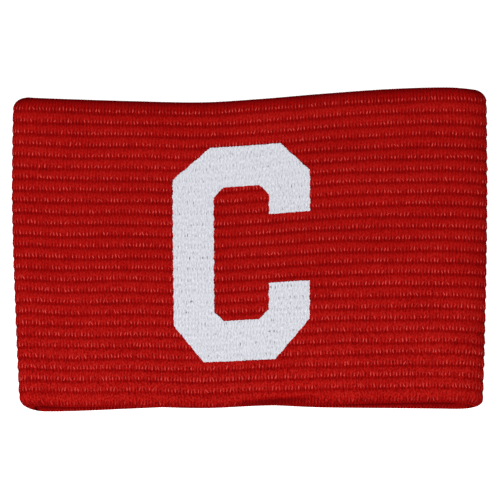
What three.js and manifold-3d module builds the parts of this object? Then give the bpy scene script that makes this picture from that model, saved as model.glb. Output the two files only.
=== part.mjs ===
// A captain's armband: one strip of ribbed elastic webbing, wrapped into a loop that lies flat on its back.
// The strip's ends lap and are sewn together at the middle of the back, and a block letter C is printed on
// the front, which lies uppermost.
//
// Millimetres. X runs along the flat loop from fold to fold, Y across the webbing towards the letter's top,
// and +Z is up. The origin is on the surface that the loop lies on, under the middle of its outline.
//
// The strip and its print are made flat and straight first, and wrapped round the loop afterwards. A point
// of the flat strip has three coordinates: across the webbing, out from its mid-surface, and along it.
import * as THREE from "three";
import { mergeVertices } from "three/addons/utils/BufferGeometryUtils.js";
import Module from "manifold-3d";

// Webbing
const BAND_WIDTH = 102;
const WALL = 1.6; // over the ribs of both faces
const EDGE_RIB = 4.6; // the first and the last rib are wider than the others
const RIB_PITCH = 3.71; // near this, so that whole ribs fill the width between those two
const RIB_HEIGHT = 0.35; // from valley to crest, on each face
const RIB_CREST = 1.5; // the level top of a rib
const SELVEDGE = 0.9; // thickness at the woven edges

// Loop, as it lies
const LOOP_LENGTH = 156; // over both folds
const HOLLOW = 7; // clear height between back and front
const LEFT_FOLD = 7; // how far each fold's curve reaches in from its end
const RIGHT_FOLD = 10;
const CORNERS = { left: { top: 4.2, bottom: 4 }, right: { top: 4.5, bottom: 2.6 } }; // radii of the outline
const CORNER_SPREAD = 10; // a higher power keeps a corner's rounding closer to the fold

// Lapped seam at the middle of the back
const SEAM_LAP = 12;
const SEAM_RAMP = 9; // where the inner end comes down beside the outer one
const SEAM_GAP = 0.3;

// Printed letter
const LETTER_HEIGHT = 71.4;
const LETTER_WIDTH = 44.9;
const LETTER_STROKE = 13.4;
const LETTER_UPPER_ARM = 23.3; // from the letter's top to the end of that arm
const LETTER_LOWER_ARM = 25.3; // and from its bottom
const LETTER_OUTER_CUT = 10.8; // the corners, cut off at about 45 degrees
const LETTER_INNER_CUT = 3.2;
const LETTER_ALONG = -2.7; // the letter's middle from the front's middle
const LETTER_ACROSS = 0.05;
const LETTER_THICKNESS = 0.35;
const LETTER_RIB_SHARE = 0.5; // how much of the ribs' depth shows through the print
const PRINT_CLEARANCE = 0.3;
const PRINT_MARGIN = 1; // the sheet that the letter is cut from reaches this far past its sides

// How the two edges of each layer wander, and how far the front's ribs bow between its edges, for sections
// from the left fold (-1) to the right fold (1). Each shift is towards +Y, as a share of the band's width.
const EDGE_SHIFTS = [
  { at: -1.0, frontTop: -0.008, frontBottom: 0.006, backTop: -0.007, backBottom: -0.0175, bow: -0.003 },
  { at: -0.8, frontTop: -0.013, frontBottom: -0.001, backTop: -0.0115, backBottom: -0.017, bow: -0.004 },
  { at: -0.5, frontTop: -0.02, frontBottom: 0.0, backTop: -0.0185, backBottom: -0.008, bow: 0.0 },
  { at: -0.2, frontTop: -0.024, frontBottom: -0.005, backTop: -0.0225, backBottom: 0.001, bow: 0.0 },
  { at: 0.05, frontTop: -0.013, frontBottom: 0.0025, backTop: -0.0115, backBottom: 0.003, bow: 0.001 },
  { at: 0.3, frontTop: 0.003, frontBottom: 0.0055, backTop: 0.0045, backBottom: -0.0045, bow: 0.004 },
  { at: 0.6, frontTop: 0.019, frontBottom: 0.012, backTop: 0.0205, backBottom: -0.007, bow: -0.002 },
  { at: 0.85, frontTop: 0.024, frontBottom: 0.014, backTop: 0.0255, backBottom: -0.009, bow: -0.005 },
  { at: 1.0, frontTop: 0.018, frontBottom: 0.01, backTop: 0.0195, backBottom: -0.0115, bow: -0.004 },
];

// How far each fold draws in, as a share of half the loop's length, and how much more the loop stands open,
// as a share of its hollow, for sections from the bottom edge (-1) to the top edge (1).
const FOLD_INSETS = [
  { at: -1.0, left: 0.033, right: 0.019, opening: 0.16 },
  { at: -0.5, left: 0.018, right: 0.009, opening: 0.05 },
  { at: 0.0, left: 0.0055, right: 0.002, opening: 0.0 },
  { at: 0.4, left: 0.0, right: 0.0, opening: 0.0 },
  { at: 1.0, left: 0.005, right: 0.003, opening: 0.08 },
];

// How far the cut at each outer corner of the letter reaches, as shares of its nominal reach.
const LETTER_CUTS = {
  topLeft: { along: 1.13, across: 0.99 },
  topRight: { along: 0.9, across: 0.91 },
  bottomLeft: { along: 0.9, across: 1.11 },
  bottomRight: { along: 1.04, across: 1.19 },
};

// Swells and dents of the front: the middle of each as shares of half the length and half the width, its
// rise as a share of the hollow, and its reach each way as shares of those halves.
const SWELLS = [
  { at: -0.55, across: -0.3, rise: 0.1, reach: 0.45, spread: 0.9 },
  { at: 0.62, across: 0.0, rise: 0.13, reach: 0.4, spread: 1.1 },
  { at: 0.02, across: 1.0, rise: 0.16, reach: 0.5, spread: 0.7 },
  { at: 0.16, across: -1.0, rise: -0.26, reach: 0.28, spread: 0.2 },
  { at: -0.1, across: -0.6, rise: -0.08, reach: 0.4, spread: 0.5 },
];

// The loop's middle line at the webbing's mid-surface, seen along +Y: X to the right, Z up.
const BACK_LEVEL = WALL / 2;
const LAP_LEVEL = BACK_LEVEL + WALL + SEAM_GAP;
const FRONT_LEVEL = BACK_LEVEL + WALL + HOLLOW;
const LOOP_END = LOOP_LENGTH / 2 - WALL / 2;
const LEFT_CENTRE = -LOOP_LENGTH / 2 + LEFT_FOLD;
const RIGHT_CENTRE = LOOP_LENGTH / 2 - RIGHT_FOLD;
const LAP_END = SEAM_LAP / 2;

function foldCurve(centre, reach, start, end) {
  const level = (BACK_LEVEL + FRONT_LEVEL) / 2;
  const rise = (FRONT_LEVEL - BACK_LEVEL) / 2;
  return new THREE.EllipseCurve(centre, level, reach - WALL / 2, rise, start, end, true);
}

function line(x0, z0, x1, z1) {
  return new THREE.LineCurve(new THREE.Vector2(x0, z0), new THREE.Vector2(x1, z1));
}

function rampCurve() {
  const middle = -LAP_END - SEAM_RAMP / 2;
  return new THREE.CubicBezierCurve(
    new THREE.Vector2(-LAP_END, LAP_LEVEL),
    new THREE.Vector2(middle, LAP_LEVEL),
    new THREE.Vector2(middle, BACK_LEVEL),
    new THREE.Vector2(-LAP_END - SEAM_RAMP, BACK_LEVEL),
  );
}

// The stretches of the loop in the order in which the strip runs: from its inner end at the seam, along the
// back to the left fold, over the front to the right fold, and back to its outer end.
const STRETCHES = [
  { name: "lap", steps: 1, curve: line(LAP_END, LAP_LEVEL, -LAP_END, LAP_LEVEL) },
  { name: "ramp", steps: 3, curve: rampCurve() },
  { name: "back_left", steps: 3, curve: line(-LAP_END - SEAM_RAMP, BACK_LEVEL, LEFT_CENTRE, BACK_LEVEL) },
  { name: "left_fold", steps: 6, curve: foldCurve(LEFT_CENTRE, LEFT_FOLD, -Math.PI / 2, Math.PI / 2) },
  { name: "front", steps: 12, curve: line(LEFT_CENTRE, FRONT_LEVEL, RIGHT_CENTRE, FRONT_LEVEL) },
  { name: "right_fold", steps: 8, curve: foldCurve(RIGHT_CENTRE, RIGHT_FOLD, Math.PI / 2, -Math.PI / 2) },
  { name: "back_right", steps: 4, curve: line(RIGHT_CENTRE, BACK_LEVEL, -LAP_END, BACK_LEVEL) },
];

const loop = new THREE.CurvePath();
STRETCHES.forEach((stretch) => loop.add(stretch.curve));
const STRIP_LENGTH = loop.getLength();

// How far along the strip a stretch starts.
function startOf(name) {
  const before = STRETCHES.slice(0, STRETCHES.findIndex((stretch) => stretch.name === name));
  return before.reduce((sum, stretch) => sum + stretch.curve.getLength(), 0);
}

const SEAM_LENGTH = startOf("back_left");
const FRONT_MIDDLE = startOf("front") - LEFT_CENTRE;

// Places along the strip where the mesh has a section, close together round the folds.
function stations() {
  const places = [0];
  for (const { steps, curve } of STRETCHES) {
    const start = places[places.length - 1];
    for (let i = 1; i <= steps; i++) places.push(start + (curve.getLength() * i) / steps);
  }
  return places;
}

// A smooth value between the rows of a table, from one of its columns.
function readTable(rows, column, at) {
  const place = THREE.MathUtils.clamp(at, rows[0].at, rows[rows.length - 1].at);
  const next = Math.max(1, rows.findIndex((row) => row.at >= place));
  const [a, b] = [rows[next - 1], rows[next]];
  const before = rows[next - 2] ?? a;
  const after = rows[next + 1] ?? b;
  const span = b.at - a.at;
  const slopeAtA = ((b[column] - before[column]) / (b.at - before.at)) * span;
  const slopeAtB = ((after[column] - a[column]) / (after.at - a.at)) * span;
  const t = (place - a.at) / span;
  const fade = t * t * (3 - 2 * t);
  const pull = t * (1 - t) * ((1 - t) * slopeAtA - t * slopeAtB);
  return THREE.MathUtils.lerp(a[column], b[column], fade) + pull;
}

// 1 at the middle of a swell, falling smoothly to 0 at its reach.
function swellShape(distance) {
  return Math.abs(distance) < 1 ? (1 + Math.cos(Math.PI * distance)) / 2 : 0;
}

function swellAt(at, across) {
  return SWELLS.reduce((sum, swell) => {
    const alongIt = swellShape((at - swell.at) / swell.reach);
    const acrossIt = swellShape((across - swell.across) / swell.spread);
    return sum + swell.rise * HOLLOW * alongIt * acrossIt;
  }, 0);
}

// How far an outline's round corner draws its fold in, close to the webbing's edge.
function cornerInset(fold, across) {
  const radius = across > 0 ? CORNERS[fold].top : CORNERS[fold].bottom;
  const intoCorner = Math.max(0, Math.abs(across) - (BAND_WIDTH / 2 - radius));
  return radius - Math.sqrt(Math.max(0, radius ** 2 - intoCorner ** 2));
}

// Where a point of the flat strip lies on the wrapped loop.
function wrapPoint(across, out, along) {
  const share = THREE.MathUtils.clamp(along / STRIP_LENGTH, 0, 1);
  const middle = loop.getPoint(share);
  const heading = loop.getTangent(share);
  const at = middle.x / LOOP_END;
  const acrossAt = across / (BAND_WIDTH / 2);

  // 0 on the back and its seam, 1 on the front, and between them round the folds.
  const layer = along < SEAM_LENGTH ? 0 : (middle.y - BACK_LEVEL) / (FRONT_LEVEL - BACK_LEVEL);
  const opening = readTable(FOLD_INSETS, "opening", acrossAt) * HOLLOW;
  const z = middle.y + layer * (opening + swellAt(at, acrossAt)) + out * heading.x;

  const fold = at < 0 ? "left" : "right";
  const inset = readTable(FOLD_INSETS, fold, acrossAt) * LOOP_END;
  const corner = cornerInset(fold, across) * Math.abs(at) ** CORNER_SPREAD;
  const x = middle.x - out * heading.y - inset * at - corner * Math.sign(at);

  const shiftOf = (edge) =>
    BAND_WIDTH *
    THREE.MathUtils.lerp(
      readTable(EDGE_SHIFTS, "back" + edge, at),
      readTable(EDGE_SHIFTS, "front" + edge, at),
      layer,
    );
  const bow = BAND_WIDTH * readTable(EDGE_SHIFTS, "bow", at) * layer * (1 - acrossAt ** 2);
  const y = across + bow + THREE.MathUtils.lerp(shiftOf("Bottom"), shiftOf("Top"), (1 + acrossAt) / 2);
  return new THREE.Vector3(x, y, z);
}

function wrap(flat) {
  const points = flat.getAttribute("position");
  for (let i = 0; i < points.count; i++) {
    const placed = wrapPoint(points.getX(i), points.getY(i), points.getZ(i));
    points.setXYZ(i, placed.x, placed.y, placed.z);
  }
  flat.computeVertexNormals();
  return flat;
}

// A straight length of the flat strip with the given section, cut into steps at the given places along it.
function flatLength(section, places) {
  const steps = places.length - 1;
  const flat = new THREE.ExtrudeGeometry(section, { depth: steps, steps, bevelEnabled: false });
  const points = flat.getAttribute("position");
  for (let i = 0; i < points.count; i++) points.setZ(i, places[Math.round(points.getZ(i))]);
  return flat;
}

// Each rib's span across the webbing, from the bottom edge to the top edge.
function ribSpans() {
  const between = BAND_WIDTH - 2 * EDGE_RIB;
  const middleRibs = Math.max(1, Math.round(between / RIB_PITCH));
  const widths = [EDGE_RIB, ...Array(middleRibs).fill(between / middleRibs), EDGE_RIB];
  let low = -BAND_WIDTH / 2;
  return widths.map((width) => {
    const span = { low, middle: low + width / 2 };
    low += width;
    return span;
  });
}

// Break points of the ribs' outline on the outer face, from the bottom edge to the top edge: a valley between
// each two ribs, and both ends of each level crest.
function ribOutline() {
  const outline = [];
  ribSpans().forEach(({ low, middle }, rib) => {
    if (rib > 0) outline.push({ across: low, depth: RIB_HEIGHT });
    outline.push({ across: middle - RIB_CREST / 2, depth: 0 });
    outline.push({ across: middle + RIB_CREST / 2, depth: 0 });
  });
  return outline;
}

// The webbing's section: ribs with level crests on the outer face, plain ridges under them on the inner face,
// and thinner woven edges.
function bandSection() {
  const outer = ribOutline().map(({ across, depth }) => new THREE.Vector2(across, WALL / 2 - depth));
  const inner = [];
  ribSpans().forEach(({ low, middle }, rib) => {
    if (rib > 0) inner.push(new THREE.Vector2(low, RIB_HEIGHT - WALL / 2));
    inner.push(new THREE.Vector2(middle, -WALL / 2));
  });
  const edge = BAND_WIDTH / 2;
  const topEdge = [new THREE.Vector2(edge, SELVEDGE / 2), new THREE.Vector2(edge, -SELVEDGE / 2)];
  const bottomEdge = [new THREE.Vector2(-edge, -SELVEDGE / 2), new THREE.Vector2(-edge, SELVEDGE / 2)];
  return new THREE.Shape([...outer, ...topEdge, ...inner.reverse(), ...bottomEdge]);
}

function elasticBand() {
  return wrap(flatLength(bandSection(), stations()));
}

const wasm = await Module();
wasm.setup();

function toSolid(geometry) {
  const bare = new THREE.BufferGeometry();
  bare.setAttribute("position", geometry.getAttribute("position"));
  const merged = mergeVertices(bare);
  const mesh = new wasm.Mesh({
    numProp: 3,
    vertProperties: merged.getAttribute("position").array,
    triVerts: new Uint32Array(merged.index.array),
  });
  return new wasm.Manifold(mesh);
}

function toGeometry(solid) {
  const mesh = solid.getMesh();
  const geometry = new THREE.BufferGeometry();
  geometry.setAttribute("position", new THREE.BufferAttribute(mesh.vertProperties, 3));
  geometry.setIndex(new THREE.BufferAttribute(mesh.triVerts, 1));
  return geometry;
}

// The upper half of a plain block C, seen on the front: x along it, y across it. Its outer corners run from
// the arm's end to the stem, and its inner ones back.
function letterHalf(arm, armCut, stemCut) {
  const [w, h] = [LETTER_WIDTH / 2, LETTER_HEIGHT / 2];
  const [innerW, innerH] = [w - LETTER_STROKE, h - LETTER_STROKE];
  const outer = [
    [w, h - arm],
    [w, h - LETTER_OUTER_CUT * armCut.across],
    [w - LETTER_OUTER_CUT * armCut.along, h],
    [LETTER_OUTER_CUT * stemCut.along - w, h],
    [-w, h - LETTER_OUTER_CUT * stemCut.across],
  ];
  const inner = [
    [-innerW, innerH - LETTER_INNER_CUT],
    [LETTER_INNER_CUT - innerW, innerH],
    [innerW - LETTER_INNER_CUT, innerH],
    [innerW, innerH - LETTER_INNER_CUT],
    [innerW, h - arm],
  ];
  return { outer, inner };
}

function letterShape() {
  const upper = letterHalf(LETTER_UPPER_ARM, LETTER_CUTS.topRight, LETTER_CUTS.topLeft);
  const lower = letterHalf(LETTER_LOWER_ARM, LETTER_CUTS.bottomRight, LETTER_CUTS.bottomLeft);
  const mirrored = (points) => points.map(([x, y]) => [x, -y]).reverse();
  const outline = [...upper.outer, ...mirrored(lower.outer), ...mirrored(lower.inner), ...upper.inner];
  return new THREE.Shape(outline.map(([x, y]) => new THREE.Vector2(x, y)));
}

// The print's section before its outline is cut: it lies on the ribs, and its face follows them less deeply.
function printSection() {
  const reach = LETTER_HEIGHT / 2 + 2 * RIB_PITCH;
  const breaks = ribOutline().filter(({ across }) => Math.abs(across - LETTER_ACROSS) < reach);
  const under = breaks.map(
    ({ across, depth }) => new THREE.Vector2(across, WALL / 2 + PRINT_CLEARANCE - depth),
  );
  const over = breaks.map(
    ({ across, depth }) =>
      new THREE.Vector2(across, WALL / 2 + PRINT_CLEARANCE + LETTER_THICKNESS - depth * LETTER_RIB_SHARE),
  );
  return new THREE.Shape([...over, ...under.reverse()]);
}

function printedLetter() {
  const middle = FRONT_MIDDLE + LETTER_ALONG;
  const reach = LETTER_WIDTH / 2 + PRINT_MARGIN;
  const inside = stations().filter((place) => Math.abs(place - middle) < LETTER_WIDTH / 2);
  const sheet = flatLength(printSection(), [middle - reach, ...inside, middle + reach]);

  const cutter = new THREE.ExtrudeGeometry(letterShape(), { depth: 2 * WALL, bevelEnabled: false });
  const acrossAxis = new THREE.Vector3(1, 0, 0);
  const outAxis = new THREE.Vector3(0, 1, 0);
  const alongAxis = new THREE.Vector3(0, 0, 1);
  cutter.applyMatrix4(new THREE.Matrix4().makeBasis(alongAxis, acrossAxis, outAxis));
  cutter.translate(LETTER_ACROSS, 0, middle);
  return wrap(toGeometry(toSolid(sheet).intersect(toSolid(cutter))));
}

function piece(name, geometry, colour, roughness) {
  const material = new THREE.MeshStandardMaterial({ color: colour, roughness, metalness: 0 });
  const mesh = new THREE.Mesh(geometry, material);
  mesh.name = name;
  return mesh;
}

const armband = new THREE.Group();
armband.name = "captain_armband";
armband.add(piece("elastic_band", elasticBand(), 0xa81310, 0.8));
armband.add(piece("letter_c", printedLetter(), 0xe4e5ea, 0.7));

// Stand the middle of the outline over the origin, on the surface.
const outline = new THREE.Box3().setFromObject(armband, true);
const centre = outline.getCenter(new THREE.Vector3());
armband.position.set(-centre.x, -centre.y, -outline.min.z);

export default armband;
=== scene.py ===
"""A captain's armband of ribbed elastic webbing, lying flat on its back with its printed letter up.

The webbing is one strip, wrapped into a flat loop. Everything on it is made on the flat, straight strip first
and wrapped round the loop afterwards. A point of the flat strip has three coordinates in millimetres: across
the webbing, out from its mid-surface, and along it. The finished meshes are in metres.
"""

import math

import bpy
import numpy as np
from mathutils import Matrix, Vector, geometry


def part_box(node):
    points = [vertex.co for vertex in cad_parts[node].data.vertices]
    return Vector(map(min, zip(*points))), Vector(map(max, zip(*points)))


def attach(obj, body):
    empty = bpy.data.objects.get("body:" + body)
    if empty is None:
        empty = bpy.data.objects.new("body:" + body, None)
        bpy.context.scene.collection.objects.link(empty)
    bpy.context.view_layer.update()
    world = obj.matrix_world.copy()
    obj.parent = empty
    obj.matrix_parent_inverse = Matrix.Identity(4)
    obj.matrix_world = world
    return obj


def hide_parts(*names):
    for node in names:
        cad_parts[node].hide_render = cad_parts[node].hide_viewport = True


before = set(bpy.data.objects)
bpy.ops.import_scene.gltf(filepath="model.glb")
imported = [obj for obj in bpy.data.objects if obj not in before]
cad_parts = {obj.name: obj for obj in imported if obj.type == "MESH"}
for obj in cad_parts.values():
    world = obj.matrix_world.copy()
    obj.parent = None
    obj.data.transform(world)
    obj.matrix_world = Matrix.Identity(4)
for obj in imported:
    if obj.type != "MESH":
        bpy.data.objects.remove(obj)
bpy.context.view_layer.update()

MM = 0.001
RANDOM = np.random.default_rng(27)

# Webbing
BAND_WIDTH = 102.0
WALL = 1.6
EDGE_RIB = 4.6
RIB_PITCH = 3.71
RIB_HEIGHT = 0.26
RIB_WANDER = 0.09  # how far a groove strays from its straight line
SELVEDGE = 0.9
RIM = 0.25  # how far in the rounding of a woven edge starts
YARN_PITCH = 1.09  # of the yarns that run across the webbing

# Loop, as it lies
LOOP_LENGTH = 156.0
HOLLOW = 7.0
LEFT_FOLD = 7.0
RIGHT_FOLD = 10.0
CORNERS = {"left": {"top": 4.2, "bottom": 4.0}, "right": {"top": 4.5, "bottom": 2.6}}
CORNER_SPREAD = 10  # the higher, the closer to the folds the corners' rounding stays

# Lapped seam at the middle of the back
SEAM_LAP = 12.0
SEAM_RAMP = 9.0
SEAM_GAP = 0.3

# Printed letter
LETTER_HEIGHT = 71.4
LETTER_WIDTH = 44.9
LETTER_STROKE = 13.4
LETTER_UPPER_ARM = 23.3
LETTER_LOWER_ARM = 25.3
LETTER_OUTER_CUT = 10.8
LETTER_INNER_CUT = 3.2
LETTER_ALONG = -2.7
LETTER_ACROSS = 0.05
LETTER_CUTS = {
    "top_left": {"along": 1.13, "across": 0.99},
    "top_right": {"along": 0.9, "across": 0.91},
    "bottom_left": {"along": 0.9, "across": 1.11},
    "bottom_right": {"along": 1.04, "across": 1.19},
}
PRINT_RISE = 0.16  # of the print's face over the ribs' crests
PRINT_RIB_SHARE = 0.4  # how much of the ribs' depth shows through the print
PRINT_YARN_RELIEF = 0.02  # how far the yarns under the print raise its face
PRINT_COVER = 1.2  # how far in under the print's edge the yarns' floats still lie
# How unevenly the print ends, in millimetres: a tooth for each yarn, a stray at random, and a wave over the
# ribs where a side runs across them.
PRINT_EDGE = {"tooth": 0.05, "stray": 0.06, "wave": 0.11}

# Shifts of the layers' edges towards +Y and the bow of the front's ribs between them, as shares of the band's
# width, from the left to the right fold.
EDGE_SHIFTS = {
    "at": (-1.0, -0.8, -0.5, -0.2, 0.05, 0.3, 0.6, 0.85, 1.0),
    "front_top": (-0.008, -0.013, -0.02, -0.024, -0.013, 0.003, 0.019, 0.024, 0.018),
    "front_bottom": (0.006, -0.001, 0.0, -0.005, 0.0025, 0.0055, 0.012, 0.014, 0.01),
    "back_top": (-0.007, -0.0115, -0.0185, -0.0225, -0.0115, 0.0045, 0.0205, 0.0255, 0.0195),
    "back_bottom": (-0.0175, -0.017, -0.008, 0.001, 0.003, -0.0045, -0.007, -0.009, -0.0115),
    "bow": (-0.003, -0.004, 0.0, 0.0, 0.001, 0.004, -0.002, -0.005, -0.004),
}

# How far the folds draw in, as shares of half the loop's length, and how much more the loop stands open, as a
# share of its hollow, from the bottom edge to the top edge.
FOLD_INSETS = {
    "at": (-1.0, -0.5, 0.0, 0.4, 1.0),
    "left": (0.033, 0.018, 0.0055, 0.0, 0.005),
    "right": (0.019, 0.009, 0.002, 0.0, 0.003),
    "opening": (0.16, 0.05, 0.0, 0.0, 0.08),
}

# Swells and dents of the front, as shares of half the length, half the width and the hollow.
SWELLS = (
    {"at": -0.55, "across": -0.3, "rise": 0.1, "reach": 0.45, "spread": 0.9},
    {"at": 0.62, "across": 0.0, "rise": 0.13, "reach": 0.4, "spread": 1.1},
    {"at": 0.02, "across": 1.0, "rise": 0.16, "reach": 0.5, "spread": 0.7},
    {"at": 0.16, "across": -1.0, "rise": -0.26, "reach": 0.28, "spread": 0.2},
    {"at": -0.1, "across": -0.6, "rise": -0.08, "reach": 0.4, "spread": 0.5},
)

# A rib's outer face, from its groove up to the next one: share is the place across the rib, depth a share of
# the rib's height, tone how light the yarn looks, partly its own colour and partly painted shade that darkens
# towards the groove, and pits how deep the dots of painted shade between the yarns are.
RIB_FACE = (
    {"share": 0.0, "depth": 1.0, "tone": 0.27, "pits": 0.3},
    {"share": 0.06, "depth": 0.8, "tone": 0.25, "pits": 0.3},
    {"share": 0.15, "depth": 0.48, "tone": 0.43, "pits": 0.85},
    {"share": 0.27, "depth": 0.18, "tone": 0.6, "pits": 1.2},
    {"share": 0.4, "depth": 0.04, "tone": 0.62, "pits": 0.9},
    {"share": 0.52, "depth": 0.0, "tone": 0.64, "pits": 0.3},
    {"share": 0.68, "depth": 0.1, "tone": 0.58, "pits": 0.0},
    {"share": 0.82, "depth": 0.4, "tone": 0.56, "pits": 0.05},
    {"share": 0.93, "depth": 0.8, "tone": 0.46, "pits": 0.3},
)
# The inner face has plain ridges, with one point for every three of the outer face.
RIB_BACK = ({"share": 0.0, "depth": 1.0}, {"share": 0.33, "depth": 0.12}, {"share": 0.67, "depth": 0.12})
INNER_TONE = 0.18
# Painted shade: how much darker the webbing is at its woven edges, and how far in that reaches
EDGE_PAINTED_SHADE = {"bottom": -0.15, "top": -0.6}
EDGE_SHADE_FADES = {"bottom": 1.1, "top": 3.8}
# Painted shade in the hollow above the front's bottom edge, where the edge tucks under: how dark it is, where
# its middle is along the front and up from the edge, how fast that rises, and how far it spreads along and
# up.
TUCK_PAINTED_SHADE = {"tone": -0.7, "along": 10.0, "up": 1.7, "slope": 0.04, "reach": 20.0, "spread": 1.8}
# The painted shadow line that the hollow casts on the back's inner face below the front's bottom edge: how
# dark it is, how far outside the front's edge it shows, how soft its outer side is, and up to how far in it
# is full and from where it is gone.
HOLLOW_PAINTED_SHADOW = {"tone": -0.6, "outside": 0.65, "blur": 1 / 3, "full": 5 / 3, "gone": 5.0}
INNER_FACE_OUT = (-0.2, -0.45)  # the line fades in between these two places out from the mid-surface

# One yarn's float below a rib's crest, from its upper tip down to its lower end. half is a share of the
# yarns' pitch, rise is in millimetres over the webbing.
FLOAT_RINGS = (
    {"share": 0.55, "half": 0.0, "rise": -0.05},
    {"share": 0.44, "half": 0.2, "rise": 0.05},
    {"share": 0.35, "half": 0.3, "rise": 0.1},
    {"share": 0.26, "half": 0.32, "rise": 0.12},
    {"share": 0.2, "half": 0.24, "rise": 0.09},
    {"share": 0.15, "half": 0.0, "rise": -0.05},
)

# One yarn's turn round a woven edge, from the outer face to the inner one: how far in from the edge, and how
# far out from the mid-surface.
LOOP_PATH = (
    {"inward": 0.75, "out": 0.42},
    {"inward": 0.45, "out": 0.56},
    {"inward": 0.12, "out": 0.44},
    {"inward": -0.06, "out": 0.12},
    {"inward": -0.06, "out": -0.2},
    {"inward": 0.1, "out": -0.46},
    {"inward": 0.4, "out": -0.6},
    {"inward": 0.85, "out": -0.7},
    {"inward": 1.2, "out": -0.6},
)

HEADING_STEP = 0.2  # on both sides of a place, to find the middle line's heading there


def arc_points(centre, reach, start, end, count=240):
    """A fold of the loop's middle line, as points (x, z) on half an ellipse."""
    turn = np.linspace(start, end, count)
    level = (BACK_LEVEL + FRONT_LEVEL) / 2
    rise = (FRONT_LEVEL - BACK_LEVEL) / 2
    return np.stack([centre + (reach - WALL / 2) * np.cos(turn), level + rise * np.sin(turn)], axis=1)


def ramp_points(count=120):
    """The stretch where the strip's inner end comes down beside the outer one."""
    t = np.linspace(0, 1, count)[:, None]
    start = np.array([-LAP_END, LAP_LEVEL])
    end = np.array([-LAP_END - SEAM_RAMP, BACK_LEVEL])
    middle = (start[0] + end[0]) / 2
    pull_a = np.array([middle, LAP_LEVEL])
    pull_b = np.array([middle, BACK_LEVEL])
    return (1 - t) ** 3 * start + 3 * (1 - t) ** 2 * t * pull_a + 3 * (1 - t) * t**2 * pull_b + t**3 * end


BACK_LEVEL = WALL / 2
LAP_LEVEL = BACK_LEVEL + WALL + SEAM_GAP
FRONT_LEVEL = BACK_LEVEL + WALL + HOLLOW
LOOP_END = LOOP_LENGTH / 2 - WALL / 2
LEFT_CENTRE = -LOOP_LENGTH / 2 + LEFT_FOLD
RIGHT_CENTRE = LOOP_LENGTH / 2 - RIGHT_FOLD
LAP_END = SEAM_LAP / 2
RAMP = ramp_points()
LEFT_ARC = arc_points(LEFT_CENTRE, LEFT_FOLD, -math.pi / 2, -3 * math.pi / 2)
RIGHT_ARC = arc_points(RIGHT_CENTRE, RIGHT_FOLD, math.pi / 2, -math.pi / 2)

# The loop's middle line in the order in which the strip runs, seen along +Y
INNER_END = [[LAP_END, LAP_LEVEL]]
OUTER_END = [[-LAP_END, BACK_LEVEL]]
MIDDLE_LINE = np.concatenate([INNER_END, RAMP, LEFT_ARC, RIGHT_ARC, OUTER_END])
STEPS = np.linalg.norm(np.diff(MIDDLE_LINE, axis=0), axis=1)
ALONG = np.concatenate([[0], np.cumsum(STEPS)])
STRIP_LENGTH = ALONG[-1]
SEAM_LENGTH = ALONG[len(RAMP)]
LEFT_START = ALONG[len(RAMP) + 1]
FRONT_START = ALONG[len(RAMP) + len(LEFT_ARC)]
FRONT_END = FRONT_START + RIGHT_CENTRE - LEFT_CENTRE
RIGHT_END = STRIP_LENGTH - (RIGHT_CENTRE + LAP_END)
FRONT_MIDDLE = FRONT_START - LEFT_CENTRE


def read_table(table, column, at):
    """A smooth value between the columns' entries of a table, for an array of places."""
    places = np.array(table["at"])
    values = np.array(table[column])
    place = np.clip(at, places[0], places[-1])
    b = np.clip(np.searchsorted(places, place), 1, len(places) - 1)
    a = b - 1
    before = np.maximum(a - 1, 0)
    after = np.minimum(b + 1, len(places) - 1)
    span = places[b] - places[a]
    slope_a = (values[b] - values[before]) / (places[b] - places[before]) * span
    slope_b = (values[after] - values[a]) / (places[after] - places[a]) * span
    t = (place - places[a]) / span
    fade = t * t * (3 - 2 * t)
    pull = t * (1 - t) * ((1 - t) * slope_a - t * slope_b)
    return values[a] + (values[b] - values[a]) * fade + pull


def swell_shape(distance):
    return np.where(np.abs(distance) < 1, (1 + np.cos(np.pi * np.clip(distance, -1, 1))) / 2, 0)


def swell_at(at, across):
    total = np.zeros_like(at)
    for swell in SWELLS:
        along_it = swell_shape((at - swell["at"]) / swell["reach"])
        across_it = swell_shape((across - swell["across"]) / swell["spread"])
        total += swell["rise"] * HOLLOW * along_it * across_it
    return total


def corner_inset(fold, across):
    """How far an outline's round corner draws its fold in, close to the webbing's edge."""
    radius = np.where(across > 0, CORNERS[fold]["top"], CORNERS[fold]["bottom"])
    into = np.maximum(0, np.abs(across) - (BAND_WIDTH / 2 - radius))
    return radius - np.sqrt(np.maximum(0, radius**2 - into**2))


def middle_at(along):
    """The middle line's x and z at places along the strip, and how far up from the back layer they are."""
    x = np.interp(along, ALONG, MIDDLE_LINE[:, 0])
    z = np.interp(along, ALONG, MIDDLE_LINE[:, 1])
    layer = np.where(along < SEAM_LENGTH, 0, (z - BACK_LEVEL) / (FRONT_LEVEL - BACK_LEVEL))
    return x, z, layer


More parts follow.
